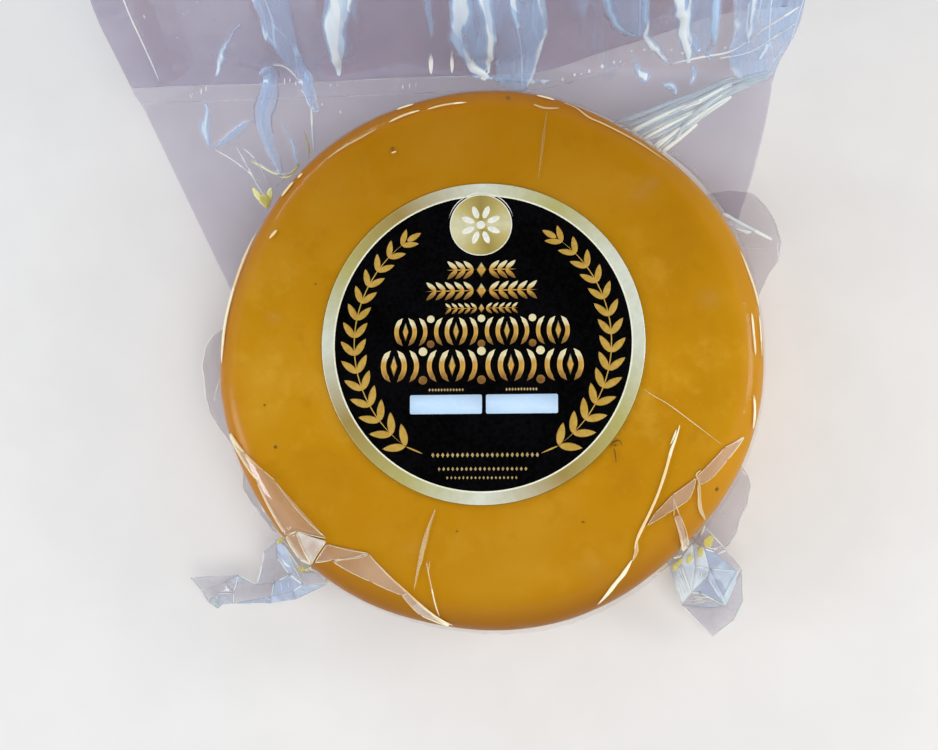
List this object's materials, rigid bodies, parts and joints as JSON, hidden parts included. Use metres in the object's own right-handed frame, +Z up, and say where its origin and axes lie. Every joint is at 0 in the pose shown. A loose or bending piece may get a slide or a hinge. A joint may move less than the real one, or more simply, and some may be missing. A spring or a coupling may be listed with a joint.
{
  "type": "vacuum packed wheel of smoked hard cheese",
  "caption": "Round smoked cheese wheel shrunk into a clear vacuum bag, with a round label on top, a heat seal and open skirt behind, and crumpled corners in front.",
  "frame": {"origin": "centre of the wheel's flat underside", "axes": "+Z up through the wheel and its label, +Y towards the bag's open end, +X to the right of the label"},
  "size_m": [0.202, 0.2137, 0.0795],
  "materials": {
    "cheese": "smooth waxy ochre rind of smoked cheese, a little browner round the shoulder",
    "film": "clear glossy vacuum film with milky folds and bright creases",
    "label": "coated black paper with a brushed gold ring and gold ornament",
    "label_gold": "gold foil print"
  },
  "bodies": {
    "root": {"sealed_bag": "cheese", "label": "label"}
  },
  "joints": []
}
